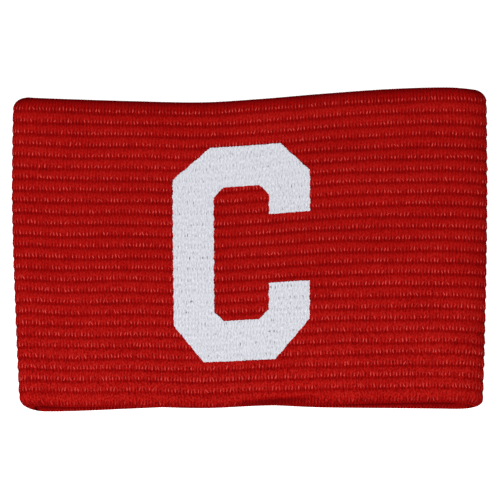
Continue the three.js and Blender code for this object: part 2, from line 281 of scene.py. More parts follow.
def wrap(across, out, along):
    """Where points of the flat strip lie on the wrapped loop, as an array of (x, y, z) in millimetres."""
    across, out, along = (np.asarray(a, dtype=float).ravel() for a in np.broadcast_arrays(across, out, along))
    place = np.clip(along, 0, STRIP_LENGTH)
    middle_x, middle_z, layer = middle_at(place)
    ahead_x, ahead_z, _ = middle_at(np.clip(place + HEADING_STEP, 0, STRIP_LENGTH))
    behind_x, behind_z, _ = middle_at(np.clip(place - HEADING_STEP, 0, STRIP_LENGTH))
    length = np.hypot(ahead_x - behind_x, ahead_z - behind_z)
    heading_x = (ahead_x - behind_x) / length
    heading_z = (ahead_z - behind_z) / length

    at = middle_x / LOOP_END
    across_at = across / (BAND_WIDTH / 2)
    opening = read_table(FOLD_INSETS, "opening", across_at) * HOLLOW
    z = middle_z + layer * (opening + swell_at(at, across_at)) + out * heading_x

    left = at < 0
    insets = [read_table(FOLD_INSETS, fold, across_at) for fold in ("left", "right")]
    inset = np.where(left, *insets)
    corner = np.where(left, corner_inset("left", across), corner_inset("right", across))
    corner = corner * np.abs(at) ** CORNER_SPREAD
    x = middle_x - out * heading_z - inset * LOOP_END * at - corner * np.sign(at)

    shift = {}
    for edge in ("top", "bottom"):
        back = read_table(EDGE_SHIFTS, "back_" + edge, at)
        front = read_table(EDGE_SHIFTS, "front_" + edge, at)
        shift[edge] = BAND_WIDTH * (back + (front - back) * layer)
    bow = BAND_WIDTH * read_table(EDGE_SHIFTS, "bow", at) * layer * (1 - across_at**2)
    y = across + bow + shift["bottom"] + (shift["top"] - shift["bottom"]) * (1 + across_at) / 2
    return np.stack([x, y, z], axis=1)


def rib_spans():
    """The low end and the width of each rib across the webbing, from the bottom edge to the top edge."""
    between = BAND_WIDTH - 2 * EDGE_RIB
    middle_ribs = round(between / RIB_PITCH)
    widths = np.array([EDGE_RIB, *[between / middle_ribs] * middle_ribs, EDGE_RIB])
    lows = np.cumsum(widths) - widths - BAND_WIDTH / 2
    return lows, widths


RIB_LOWS, RIB_WIDTHS = rib_spans()
FACE_SHARES = np.array([row["share"] for row in RIB_FACE])
FACE_DEPTHS = np.array([row["depth"] for row in RIB_FACE])
FACE_TONES_AND_SHADE = np.array([row["tone"] for row in RIB_FACE])
FACE_PIT_SHADE = np.array([row["pits"] for row in RIB_FACE])
FLOAT_SPAN = (0.12, 0.5)  # of a rib's outer face, where its floats lie
FACE_FLOATS = ((FACE_SHARES > FLOAT_SPAN[0]) & (FACE_SHARES < FLOAT_SPAN[1])).astype(float)
RIB_SHIFTS = RANDOM.uniform(-0.5, 0.5, len(RIB_LOWS)) * YARN_PITCH  # of each rib's floats along the webbing
WANDER_LENGTHS = (31.0, 83.0)
WANDER_PHASES = RANDOM.uniform(0, 2 * math.pi, (len(WANDER_LENGTHS), len(RIB_LOWS) + 1))


def rib_edges(along):
    """Where each rib starts and the last one ends, across the webbing, with a row for each place along it."""
    straight = np.append(RIB_LOWS, BAND_WIDTH / 2)
    turn = 2 * math.pi * np.asarray(along)[:, None]
    stray = sum(np.sin(turn / length + phase) for length, phase in zip(WANDER_LENGTHS, WANDER_PHASES))
    stray[:, [0, -1]] = 0
    return straight + RIB_WANDER * stray


def rib_places(across, along):
    """Each place's rib, and how far up that rib it is, as a share of the rib's width."""
    edges = rib_edges(along)
    rib = (across[:, None] >= edges[:, 1:-1]).sum(axis=1)
    row = np.arange(len(rib))
    low = edges[row, rib]
    return rib, (across - low) / (edges[row, rib + 1] - low)


def face_profile(across, along, values):
    """A value of the ribs' outer face at each place on the webbing."""
    share = rib_places(across, along)[1]
    return np.interp(share, np.append(FACE_SHARES, 1.0), np.append(values, values[0]))


def face_out(across, along):
    return WALL / 2 - RIB_HEIGHT * face_profile(across, along, FACE_DEPTHS)


def middle_shift():
    """What brings the wrapped loop to where the frame has it: its middle over the origin, its back at 0."""
    low, high = (np.array(corner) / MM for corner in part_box("elastic_band"))
    look_along = np.linspace(0, STRIP_LENGTH, 2000)
    across, out, along = np.meshgrid([-BAND_WIDTH / 2, 0, BAND_WIDTH / 2], [WALL / 2], look_along)
    points = wrap(across, out, along)
    middle = (points.min(axis=0) + points.max(axis=0)) / 2
    shift = (low + high) / 2 - middle
    shift[2] = 0
    return shift


SHIFT = middle_shift()


def volume_of(points, triangles):
    a, b, c = (points[triangles[:, i]] for i in range(3))
    return (a * np.cross(b, c)).sum() / 6


def make_piece(name, flat, faces, material, attributes=None, smooth_below=None):
    """An object from points (across, out, along) and faces on the flat strip, wrapped and set in place."""
    points = (wrap(flat[:, 0], flat[:, 1], flat[:, 2]) + SHIFT) * MM
    points[:, 2] = np.maximum(points[:, 2], 0)
    triangles = np.array([(f[0], f[i], f[i + 1]) for f in faces for i in range(1, len(f) - 1)])
    if volume_of(points, triangles) < 0:
        faces = [f[::-1] for f in faces]
    mesh = bpy.data.meshes.new(name)
    mesh.from_pydata(points.tolist(), [], faces)
    mesh.shade_smooth()
    if smooth_below is not None:
        mesh.set_sharp_from_angle(angle=smooth_below)
    place = mesh.attributes.new("flat", "FLOAT_VECTOR", "POINT")
    place.data.foreach_set("vector", flat[:, [2, 0, 1]].astype(np.float32).ravel())
    for key, values in (attributes or {}).items():
        mesh.attributes.new(key, "FLOAT", "POINT").data.foreach_set("value", np.asarray(values, np.float32))
    mesh.materials.append(material)
    piece = bpy.data.objects.new(name, mesh)
    bpy.context.scene.collection.objects.link(piece)
    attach(piece, "root")
    return piece


def strip_stations():
    """Places along the strip with a section of the mesh, close together where the loop bends."""
    coarse = 2.2
    fine = 0.7
    bounds = [
        (0, SEAM_LAP, coarse),
        (SEAM_LAP, SEAM_LENGTH, fine),
        (SEAM_LENGTH, LEFT_START, coarse),
        (LEFT_START, FRONT_START, fine),
        (FRONT_START, FRONT_END, coarse),
        (FRONT_END, RIGHT_END, fine),
        (RIGHT_END, STRIP_LENGTH, coarse),
    ]
    places = [0.0]
    for start, end, step in bounds:
        count = max(1, round((end - start) / step))
        places += [start + (end - start) * (i + 1) / count for i in range(count)]
    return np.array(places)


def tuck_shade_share(across, along):
    """How much of the tuck's painted shade each place on the webbing has, from 0 to 1."""
    past = along - FRONT_MIDDLE - TUCK_PAINTED_SHADE["along"]
    middle = TUCK_PAINTED_SHADE["up"] - BAND_WIDTH / 2 + TUCK_PAINTED_SHADE["slope"] * past
    return swell_shape(past / TUCK_PAINTED_SHADE["reach"]) * swell_shape((across - middle) / TUCK_PAINTED_SHADE["spread"])


def cover_edge(stations):
    """Where across the back the front's bottom edge lies over it, or far past the webbing on the front."""
    x, _, layer = middle_at(stations)
    at = x / LOOP_END
    past = read_table(EDGE_SHIFTS, "front_bottom", at) - read_table(EDGE_SHIFTS, "back_bottom", at)
    return BAND_WIDTH * (past - 0.5 + 2 * layer)


def webbing():
    """The webbing itself, one closed strip with ribs on both faces."""
    edge = BAND_WIDTH / 2
    stations = strip_stations()
    edges = rib_edges(stations)
    widths = np.diff(edges, axis=1)
    ribs = len(RIB_LOWS)
    end = np.full((len(stations), 1), edge)

    outer_across = (edges[:, :-1, None] + widths[:, :, None] * FACE_SHARES).reshape(len(stations), -1)
    outer_across = np.concatenate([outer_across, end - RIM], axis=1)
    outer_across[:, 0] = RIM - edge
    outer_out = np.append(WALL / 2 - RIB_HEIGHT * np.tile(FACE_DEPTHS, ribs), SELVEDGE / 2)
    outer_out[0] = SELVEDGE / 2
    tone = np.append(np.tile(FACE_TONES_AND_SHADE, ribs), FACE_TONES_AND_SHADE[0])
    # Painted shade towards both woven edges of the outer face.
    for side, from_edge in (("bottom", edge + outer_across[0]), ("top", edge - outer_across[0])):
        tone = tone + EDGE_PAINTED_SHADE[side] * np.clip(1 - from_edge / EDGE_SHADE_FADES[side], 0, 1)
    # How deep the dots of painted shade between the yarns are, across each rib.
    pits = np.append(np.tile(FACE_PIT_SHADE, ribs), FACE_PIT_SHADE[0])

    back_shares = np.array([row["share"] for row in RIB_BACK])
    back_depths = np.array([row["depth"] for row in RIB_BACK])
    inner_across = (edges[:, :-1, None] + widths[:, :, None] * back_shares).reshape(len(stations), -1)
    inner_across = np.concatenate([inner_across, end - RIM], axis=1)
    inner_across[:, 0] = RIM - edge
    inner_out = np.append(RIB_HEIGHT * np.tile(back_depths, ribs) - WALL / 2, -SELVEDGE / 2)
    inner_out[0] = -SELVEDGE / 2

    rim_across = np.tile([edge, edge], (len(stations), 1))
    rim_out = np.array([SELVEDGE / 4, -SELVEDGE / 4])
    ring_across = np.concatenate([outer_across, rim_across, inner_across[:, ::-1], -rim_across], axis=1)
    ring_out = np.concatenate([outer_out, rim_out, inner_out[::-1], -rim_out])
    ring_tone = np.full(len(ring_out), INNER_TONE)
    ring_tone[: len(tone)] = tone
    ring_pit_shade = np.zeros(len(ring_out))
    ring_pit_shade[: len(pits)] = pits
    # The last point of each rib already goes with the next rib's floats.
    shifts = np.tile(RIB_SHIFTS[:, None], len(FACE_SHARES))
    shifts[:-1, -1] = RIB_SHIFTS[1:]
    ring_shifts = np.zeros(len(ring_out))
    ring_shifts[: shifts.size] = shifts.ravel()

    around = len(ring_out)
    flat = np.stack(
        [ring_across.ravel(), np.tile(ring_out, len(stations)), np.repeat(stations, around)],
        axis=1,
    )
    first = (np.arange(len(stations) - 1)[:, None] * around + np.arange(around)).ravel()
    following = (np.arange(len(stations) - 1)[:, None] * around + (np.arange(around) + 1) % around).ravel()
    faces = np.stack([first, following, following + around, first + around], axis=1).tolist()

    # Each end is closed rib by rib, with the outer points that lie over a stretch of the inner face.
    outer_count, inner_count = len(outer_out), len(inner_out)
    per_back = len(RIB_FACE) // len(RIB_BACK)
    inner_at = [outer_count + 2 + inner_count - 1 - j for j in range(inner_count)]
    cap = [
        [per_back * j + k for k in range(per_back + 1)] + [inner_at[j + 1], inner_at[j]]
        for j in range(inner_count - 1)
    ]
    cap.append([0, inner_at[0], around - 2, around - 1])
    cap.append([outer_count - 1, outer_count, outer_count + 1, inner_at[-1]])
    far = (len(stations) - 1) * around
    faces += [f[::-1] for f in cap]
    faces += [[i + far for i in f] for f in cap]

    rings = {"tone": ring_tone, "pits": ring_pit_shade, "shift": ring_shifts}
    attributes = {name: np.tile(values, len(stations)) for name, values in rings.items()}
    # Painted shade where the front's bottom edge tucks under.
    attributes["tone"] = attributes["tone"] + TUCK_PAINTED_SHADE["tone"] * tuck_shade_share(flat[:, 0], flat[:, 2])
    attributes["cover"] = np.repeat(cover_edge(stations), around)
    piece = make_piece("webbing", flat, faces, WEBBING, attributes)
    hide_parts("elastic_band")
    return piece


def prism_faces(count, rings):
    """Faces of many three-sided floats, each with a point at both ends and the given number of full rings."""
    points_each = 3 * rings + 2
    faces = []
    for side in range(3):
        other = (side + 1) % 3
        faces.append([0, 1 + other, 1 + side, -1])
        for ring in range(rings - 1):
            low = 1 + 3 * ring
            faces.append([low + side, low + other, low + 3 + other, low + 3 + side])
        faces.append([points_each - 1, points_each - 4 + side, points_each - 4 + other, -1])
    # A triangle has -1 in place of its fourth corner.
    pattern = np.array(faces)
    every = pattern[None] + (np.arange(count) * points_each)[:, None, None]
    every = np.where(pattern[None] < 0, -1, every).reshape(-1, 4)
    return [row if row[3] >= 0 else row[:3] for row in every.tolist()]


def prism_points(left, ridge, right, tips):
    """Points of many floats, and how much each is on the ridge, which gets a painted highlight: 1 there, 0 at
    the sides, half at the tips.

    Each array has a row for each float, a column for each ring and three coordinates. The first and the last
    column stand for a float's tips, which come from the array of that name.
    """
    count, rings = ridge.shape[:2]
    sides = np.stack([left, ridge, right], axis=2)
    full = sides[:, 1:-1].reshape(count, -1, 3)
    points = np.concatenate([tips[:, :1], full, tips[:, -1:]], axis=1)
    ridge_highlight = np.concatenate([[0.5], np.tile([0, 1, 0], rings - 2), [0.5]])
    return points.reshape(-1, 3), np.tile(ridge_highlight, count)


YARNS = np.arange(YARN_PITCH / 2, STRIP_LENGTH - YARN_PITCH / 4, YARN_PITCH)
YARN_STRAY = 0.05
YARN_WANDER = RANDOM.normal(0, YARN_STRAY, len(YARNS))
FLOAT_BURIED = 0.08  # how deep the floats' undersides lie in the webbing
FLOAT_GROWTH = 0.18  # how much longer the floats are at the bottom edge than in the middle of the webbing
BOTTOM_RIB_SHADE = 0.5  # how much duller the floats along the bottom edge are
# How the floats vary, as standard deviations, and between which limits
FLOAT_VARIETY = {"length": 0.16, "place": 0.022, "plump": 0.2, "slant": 1.1, "stray": 0.07}
FLOAT_LIMITS = {"length": (0.45, 1.35), "plump": (0.45, 1.5), "share": (0.02, 0.85)}


def weft_floats(name, chosen):
    """The yarns' floats over the ribs, for the chosen yarns."""
    yarn = YARNS[chosen] + YARN_WANDER[chosen]
    ribs, yarns = len(RIB_LOWS), len(yarn)
    count = ribs * yarns
    shares = np.array([row["share"] for row in FLOAT_RINGS])
    halves = np.array([row["half"] for row in FLOAT_RINGS]) * YARN_PITCH
    rises = np.array([row["rise"] for row in FLOAT_RINGS])
    middle = len(FLOAT_RINGS) // 2
    from_middle = shares - shares[middle]
    edges = rib_edges(yarn)
    low = edges[:, :-1].T.reshape(count, 1)
    width = np.diff(edges, axis=1).T.reshape(count, 1).clip(max=RIB_WIDTHS[1])

    growth = 1 - FLOAT_GROWTH * low / (BAND_WIDTH / 2)
    length = (growth * RANDOM.normal(1, FLOAT_VARIETY["length"], (count, 1))).clip(*FLOAT_LIMITS["length"])
    place = RANDOM.normal(0, FLOAT_VARIETY["place"], (count, 1))
    plump = RANDOM.normal(1, FLOAT_VARIETY["plump"], (count, 1)).clip(*FLOAT_LIMITS["plump"])
    slant = RANDOM.normal(0, FLOAT_VARIETY["slant"], (count, 1))
    stray = RANDOM.normal(0, FLOAT_VARIETY["stray"], count)
    share = (shares[middle] + from_middle * length + place).clip(*FLOAT_LIMITS["share"])
    across = (low + width * share).clip(RIM - BAND_WIDTH / 2, BAND_WIDTH / 2 - RIM)
    along = np.tile(yarn, ribs) + np.repeat(RIB_SHIFTS, yarns) + stray
    along = along[:, None] + slant * from_middle
    surface = face_out(across.ravel(), along.ravel()).reshape(count, -1)
    half = halves * np.sqrt(plump)
    top = surface + rises * plump
    base = surface - FLOAT_BURIED

    keep = ~under_print(across[:, middle], along[:, middle])
    left = np.stack([across, base, along - half], axis=2)[keep]
    ridge = np.stack([across, top, along], axis=2)[keep]
    right = np.stack([across, base, along + half], axis=2)[keep]
    points, ridge_highlight = prism_points(left, ridge, right, ridge)
    rings = len(FLOAT_RINGS) - 2
    bottom_rib = np.repeat(np.arange(ribs) == 0, yarns)
    # The tuck's painted shade falls on the floats there too.
    shade = RANDOM.random(keep.sum()) - tuck_shade_share(across[keep, middle], along[keep, middle])
    shade -= BOTTOM_RIB_SHADE * bottom_rib[keep]
    faces = prism_faces(len(shade), rings)
    attributes = {"ridge_highlight": ridge_highlight, "shade": np.repeat(shade, 3 * rings + 2)}
    return make_piece(name, points, faces, FLOATS, attributes)


LOOP_THICKNESS = 0.14
LOOP_HALF = 0.3  # half a turn's width, as a share of the yarns' pitch
LOOP_LEAN = 0.4  # along the webbing, from a turn's middle to its end
LOOP_STRAY = 0.05


def selvedge_loops():
    """The yarns' turns round both woven edges."""
    inward = np.array([row["inward"] for row in LOOP_PATH])
    out = np.array([row["out"] for row in LOOP_PATH])
    rings = len(LOOP_PATH)
    lean = np.linspace(-LOOP_LEAN, LOOP_LEAN, rings)
    half = np.full(rings, LOOP_HALF * YARN_PITCH)
    half[[0, -1]] = 0
    run = np.stack([np.gradient(inward), np.gradient(out)])
    run /= np.linalg.norm(run, axis=0)
    under_inward = inward - run[1] * LOOP_THICKNESS
    under_out = out + run[0] * LOOP_THICKNESS
    yarn = YARNS + YARN_WANDER
    points, ridge_highlights, shades = [], [], []
    for side in (-1, 1):
        along = yarn[:, None] + lean + RANDOM.normal(0, LOOP_STRAY, (len(yarn), 1))
        edge = side * BAND_WIDTH / 2
        under_across = edge - side * under_inward
        left = np.stack(np.broadcast_arrays(under_across, under_out, along - half), axis=2)
        ridge = np.stack(np.broadcast_arrays(edge - side * inward, out, along), axis=2)
        right = np.stack(np.broadcast_arrays(under_across, under_out, along + half), axis=2)
        side_points, side_ridge_highlight = prism_points(left, ridge, right, left)
        points.append(side_points)
        ridge_highlights.append(side_ridge_highlight)
        shades.append(np.repeat(RANDOM.random(len(yarn)), 3 * (rings - 2) + 2))
    faces = prism_faces(2 * len(yarn), rings - 2)
    attributes = {"ridge_highlight": np.concatenate(ridge_highlights), "shade": np.concatenate(shades)}
    return make_piece("selvedge_loops", np.concatenate(points), faces, LOOPS, attributes)


def letter_half(arm, arm_cut, stem_cut):
    """A block C's upper half: its outer corners from the arm's end to the stem, and its inner ones back."""
    w, h = LETTER_WIDTH / 2, LETTER_HEIGHT / 2
    inner_w, inner_h = w - LETTER_STROKE, h - LETTER_STROKE
    outer = [
        (w, h - arm),
        (w, h - LETTER_OUTER_CUT * arm_cut["across"]),
        (w - LETTER_OUTER_CUT * arm_cut["along"], h),
        (LETTER_OUTER_CUT * stem_cut["along"] - w, h),
        (-w, h - LETTER_OUTER_CUT * stem_cut["across"]),
    ]
    inner = [
        (-inner_w, inner_h - LETTER_INNER_CUT),
        (LETTER_INNER_CUT - inner_w, inner_h),
        (inner_w - LETTER_INNER_CUT, inner_h),
        (inner_w, inner_h - LETTER_INNER_CUT),
        (inner_w, h - arm),
    ]
    return outer, inner


def letter_corners():
    """A plain block C with its corners cut off, as (along, across) from the middle of the letter."""
    outer, inner = letter_half(LETTER_UPPER_ARM, LETTER_CUTS["top_right"], LETTER_CUTS["top_left"])
    low_cuts = (LETTER_CUTS["bottom_right"], LETTER_CUTS["bottom_left"])
    low_outer, low_inner = letter_half(LETTER_LOWER_ARM, *low_cuts)
    lower = [(x, -y) for x, y in reversed(low_outer)] + [(x, -y) for x, y in reversed(low_inner)]
    return np.array(outer + lower + inner)


LETTER_PLACE = np.array([FRONT_MIDDLE + LETTER_ALONG, LETTER_ACROSS])


def inside_polygon(points, polygon):
    inside = np.zeros(len(points), dtype=bool)
    for a, b in zip(polygon, np.roll(polygon, -1, axis=0)):
        if a[1] == b[1]:
            continue
        crosses = (a[1] > points[:, 1]) != (b[1] > points[:, 1])
        inside ^= crosses & (points[:, 0] < a[0] + (points[:, 1] - a[1]) * (b[0] - a[0]) / (b[1] - a[1]))
    return inside


def distance_to(points, polygon):
    nearest = np.full(len(points), np.inf)
    for a, b in zip(polygon, np.roll(polygon, -1, axis=0)):
        run = b - a
        t = np.clip(((points - a) @ run) / max(run @ run, 1e-12), 0, 1)
        nearest = np.minimum(nearest, np.linalg.norm(points - a - t[:, None] * run, axis=1))
    return nearest


def under_print(across, along):
    """Which places lie well inside the printed letter."""
    points = np.stack([along, across], axis=1) - LETTER_PLACE
    corners = letter_corners()
    return inside_polygon(points, corners) & (distance_to(points, corners) > PRINT_COVER)


def ragged_outline(corners):
    """The print's edge, which ends unevenly from yarn to yarn."""
    steps_per_yarn = 3
    phase_span = 6.0
    step = YARN_PITCH / steps_per_yarn
    outline = []
    for a, b in zip(corners, np.roll(corners, -1, axis=0)):
        run = b - a
        length = np.linalg.norm(run)
        count = max(2, round(length / step))
        outward = np.array([run[1], -run[0]]) / length
        turns = np.arange(count) * 2 * math.pi / steps_per_yarn + RANDOM.random() * phase_span
        up = a[1] + run[1] * np.arange(count) / count
        wave = np.sin(2 * math.pi * up / RIB_PITCH) * PRINT_EDGE["wave"] * abs(run[1]) / length
        stray = RANDOM.normal(0, PRINT_EDGE["stray"], count)
        ragged = np.sin(turns) * PRINT_EDGE["tooth"] + wave + stray
        ragged[0] = 0
        outline += [a + run * i / count + outward * ragged[i] for i in range(count)]
    return np.array(outline)


def print_out(across, along):
    relief = PRINT_YARN_RELIEF * np.cos(2 * math.pi * (along - YARNS[0]) / YARN_PITCH)
    ribs = RIB_HEIGHT * PRINT_RIB_SHARE * face_profile(across, along, FACE_DEPTHS)
    return WALL / 2 + PRINT_RISE + relief - ribs


def letter():
    """The printed letter, a thin film that follows the ribs."""
    outline = ragged_outline(letter_corners())
    step_along = YARN_PITCH / 4
    step_across = RIB_WIDTHS[1] / 10
    clear_of_edge = 0.3
    same_point = 1e-5
    reach = np.array([LETTER_WIDTH, LETTER_HEIGHT]) / 2
    grid = np.stack(
        np.meshgrid(np.arange(-reach[0], reach[0], step_along), np.arange(-reach[1], reach[1], step_across)),
        axis=-1,
    ).reshape(-1, 2)
    grid = grid[inside_polygon(grid, outline)]
    grid = grid[distance_to(grid, letter_corners()) > clear_of_edge]
    sites = [Vector(place) for place in np.concatenate([outline, grid])]
    found = geometry.delaunay_2d_cdt(sites, [], [list(range(len(outline)))], 1, same_point)
    plan = np.array([tuple(v) for v in found[0]]) + LETTER_PLACE
    triangles = [list(f) for f in found[2]]
    along, across = plan[:, 0], plan[:, 1]
    face = np.stack([across, print_out(across, along), along], axis=1)
    under = np.stack([across, face_out(across, along) - FLOAT_BURIED, along], axis=1)
    count = len(plan)
    sides = {edge for a, b, c in triangles for edge in ((a, b), (b, c), (c, a))}
    rim = sorted(edge for edge in sides if edge[::-1] not in sides)
    faces = triangles + [[i + count for i in reversed(t)] for t in triangles]
    faces += [[b, a, a + count, b + count] for a, b in rim]
    floats = np.tile(face_profile(across, along, FACE_FLOATS), 2)
    shift = np.tile(RIB_SHIFTS[rib_places(across, along)[0]], 2)
    piece = make_piece(
        "letter_print",
        np.concatenate([face, under]),
        faces,
        PRINT,
        {"floats": floats, "shift": shift},
        smooth_below=math.radians(50),
    )
    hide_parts("letter_c")
    return piece


STITCH = {"radius": 0.17, "sides": 6, "pitch": 1.7, "swing": 1.1, "sunk": 0.02, "proud": 0.08}
STITCH_END = BAND_WIDTH / 2 - 1.0  # how far from the middle of the webbing the rows of stitches may reach
STITCH_STEPS = 6  # of a thread's path from one needle hole to the next
STITCH_ROWS = (3.0, 9.0)  # in from the start of the lap


def stitch_line(start, face):
    """One zigzag row's path across, out and along, on the outer face where face is 1, the inner where -1."""
    holes = np.arange(-STITCH_END, STITCH_END, STITCH["pitch"])
    swing = STITCH["swing"] * np.where(np.arange(len(holes)) % 2, 1, -1)
    across = np.linspace(holes[0], holes[-1], STITCH_STEPS * (len(holes) - 1) + 1)
    along = np.interp(across, holes, start + swing)
    surface = face_out(across, along) if face > 0 else np.full_like(across, -WALL / 2)
    reach = WALL / 2 - STITCH["radius"] + STITCH["proud"]
    return across, (surface - face * STITCH["sunk"]).clip(-reach, reach), along


def seam_stitches():
    """Rows of zigzag stitches that join the lapped ends, on the outer face below and the inner face above."""
    radius = STITCH["radius"]
    sides = STITCH["sides"]
    angles = np.arange(sides) * 2 * math.pi / sides
    lap_starts = {1: STRIP_LENGTH - SEAM_LAP, -1: 0}
    rows = [stitch_line(start + place, face) for face, start in lap_starts.items() for place in STITCH_ROWS]
    points, faces = [], []
    for across, out, along in rows:
        start = len(points)
        for a, o, s in zip(across, out, along):
            points += [(a, o + radius * math.sin(t), s + radius * math.cos(t)) for t in angles]
        for i in range(len(across) - 1):
            for k in range(sides):
                low = start + i * sides
                faces.append([low + k, low + (k + 1) % sides, low + sides + (k + 1) % sides, low + sides + k])
        faces.append([start + k for k in reversed(range(sides))])
        faces.append([start + (len(across) - 1) * sides + k for k in range(sides)])
    return make_piece("seam_stitches", np.array(points), faces, THREAD)


class Shader:
    """A material with one Principled shader, and short ways to add nodes to it."""

    def __init__(self, name, roughness, specular):
        self.material = bpy.data.materials.new(name)
        self.material.use_nodes = True
        self.tree = self.material.node_tree
        self.shader = self.tree.nodes["Principled BSDF"]
        self.shader.inputs["Roughness"].default_value = roughness
        self.shader.inputs["Specular IOR Level"].default_value = specular

    def put(self, socket, value):
        if isinstance(value, bpy.types.NodeSocket):
            self.tree.links.new(value, socket)
        else:
            socket.default_value = value

    def attribute(self, name, output="Fac"):
        node = self.tree.nodes.new("ShaderNodeAttribute")
        node.attribute_name = name
        return node.outputs[output]

    def math(self, operation, a, b=0.0, c=0.0, clamp=False):
        node = self.tree.nodes.new("ShaderNodeMath")
        node.operation = operation
        node.use_clamp = clamp
        self.put(node.inputs[0], a)
        self.put(node.inputs[1], b)
        self.put(node.inputs[2], c)
        return node.outputs[0]

    def around(self, value, amount):
        """A value from 0 to 1, brought to plus or minus half an amount."""
        return self.math("MULTIPLY_ADD", value, amount, -amount / 2)

    def between(self, value, low, high):
        """A value from 0 to 1, brought to between a low and a high one."""
        return self.math("MULTIPLY_ADD", value, high - low, low)

    def rise(self, value, start, full):
        """0 where a value is at its start or before it, and 1 from where it is full on, either way."""
        slope = 1 / (full - start)
        return self.math("MULTIPLY_ADD", value, slope, -start * slope, clamp=True)

    def coordinate(self, name):
        """The flat strip's coordinate of this name, in millimetres."""
        node = self.tree.nodes.new("ShaderNodeSeparateXYZ")
        self.put(node.inputs[0], self.attribute("flat", "Vector"))
        return node.outputs[("along", "across", "out").index(name)]

    def stretched(self, scale):
        """The flat strip's coordinates (along, across, out) in millimetres, times a scale for each."""
        node = self.tree.nodes.new("ShaderNodeVectorMath")
        node.operation = "MULTIPLY"
        self.put(node.inputs[0], self.attribute("flat", "Vector"))
        node.inputs[1].default_value = scale
        return node.outputs[0]

    def noise(self, scale, detail=2.0):
        node = self.tree.nodes.new("ShaderNodeTexNoise")
        self.put(node.inputs["Vector"], self.stretched(scale))
        node.inputs["Scale"].default_value = 1.0
        node.inputs["Detail"].default_value = detail
        return node.outputs["Fac"]

    def ramp(self, value, stops):
        node = self.tree.nodes.new("ShaderNodeValToRGB")
        self.put(node.inputs[0], value)
        ramp = node.color_ramp
        while len(ramp.elements) < len(stops):
            ramp.elements.new(0.5)
        for element, (place, colour) in zip(ramp.elements, stops):
            element.position = place
            element.color = (*colour, 1)
        return node.outputs["Color"]

    def mix(self, share, a, b):
        node = self.tree.nodes.new("ShaderNodeMix")
        node.data_type = "RGBA"
        self.put(node.inputs["Factor"], share)
        self.put(node.inputs[6], a)
        self.put(node.inputs[7], b)
        return node.outputs[2]

    def bump(self, height, distance):
        node = self.tree.nodes.new("ShaderNodeBump")
        node.inputs["Distance"].default_value = distance * MM
        self.put(node.inputs["Height"], height)
        self.put(self.shader.inputs["Normal"], node.outputs[0])

    def colour(self, value):
        self.put(self.shader.inputs["Base Color"], value)
        return self.material

    def yarn_wave(self, wander):
        """0 at each yarn's middle and 1 between two yarns, with the waves set off by a wander in radians."""
        turns = 2 * math.pi / YARN_PITCH
        along = self.math("MULTIPLY", self.coordinate("along"), turns)
        offset = self.math("MULTIPLY_ADD", self.attribute("shift"), -turns, along)
        offset = self.math("ADD", offset, self.around(self.noise(scale=(0.35, 0.3, 0)), 2 * wander))
        wave = self.math("COSINE", offset)
        return self.math("MULTIPLY_ADD", wave, 0.5, 0.5)


RED_DARK = (0.13, 0.0012, 0.0016)
RED_MIDDLE = (0.3, 0.0034, 0.0028)
RED_LIGHT = (0.46, 0.0135, 0.01)
RED_GLINT = (0.66, 0.064, 0.055)
PRINT_GREY = (0.45, 0.45, 0.5)
PRINT_WHITE = (0.7, 0.71, 0.76)
PRINT_SPECK = (0.12, 0.1, 0.11)
THREAD_DARK = (0.36, 0.012, 0.012)
THREAD_LIGHT = (0.56, 0.04, 0.04)

# How much each part of the webbing's look adds to its light, and how high it stands in the webbing's relief
WEBBING_LIGHT = {"pit_shade": -0.28, "yarns": -0.14, "grain": 1.3, "fuzz": 0.05, "patches": 0.25}
WEBBING_RELIEF = {"yarns": 0.7, "fine": 0.6}
FUZZ_GROWTH = 0.022  # how fast the webbing gets fuzzier from its middle to its bottom edge, per millimetre
FUZZ_GRAIN = 1.8  # how much stronger the grain is where the webbing is fuzziest
GROOVE_GRAIN = 0.4  # how much of the grain the darkest yarn still has


def webbing_material():
    look = Shader("red_webbing", roughness=0.8, specular=0.0)
    yarns = look.yarn_wave(wander=4.0)
    fine = look.noise(scale=(3.0, 1.4, 1.0), detail=3.0)
    patch = look.noise(scale=(0.05, 0.08, 0.05))
    tone = look.attribute("tone")
    # Dots of painted shade between the yarns, as deep as the pits attribute says.
    pit_shade = look.math("MULTIPLY", look.attribute("pits"), look.yarn_wave(wander=0.6))
    light = look.math("MULTIPLY_ADD", pit_shade, WEBBING_LIGHT["pit_shade"], tone)
    light = look.math("ADD", light, look.around(yarns, WEBBING_LIGHT["yarns"]))
    fuzz = look.math("MULTIPLY", look.coordinate("across"), -FUZZ_GROWTH, clamp=True)
    grain = look.around(fine, WEBBING_LIGHT["grain"])
    grain = look.math("MULTIPLY", grain, look.between(fuzz, 1.0, FUZZ_GRAIN))
    grain = look.math("MULTIPLY", grain, look.math("ADD", tone, GROOVE_GRAIN))
    light = look.math("ADD", light, grain)
    light = look.math("MULTIPLY_ADD", fuzz, WEBBING_LIGHT["fuzz"], light)
    light = look.math("ADD", light, look.around(patch, WEBBING_LIGHT["patches"]))
    # Painted shadow of the hollow along the back's inner face, below the front's bottom edge.
    light = look.math("MULTIPLY_ADD", painted_hollow_shadow(look), HOLLOW_PAINTED_SHADOW["tone"], light, clamp=True)
    fine_relief = look.math("MULTIPLY", fine, WEBBING_RELIEF["fine"])
    look.bump(look.math("MULTIPLY_ADD", yarns, WEBBING_RELIEF["yarns"], fine_relief), distance=0.06)
    return look.colour(look.ramp(light, ((0.0, RED_DARK), (0.5, RED_MIDDLE), (1.0, RED_LIGHT))))


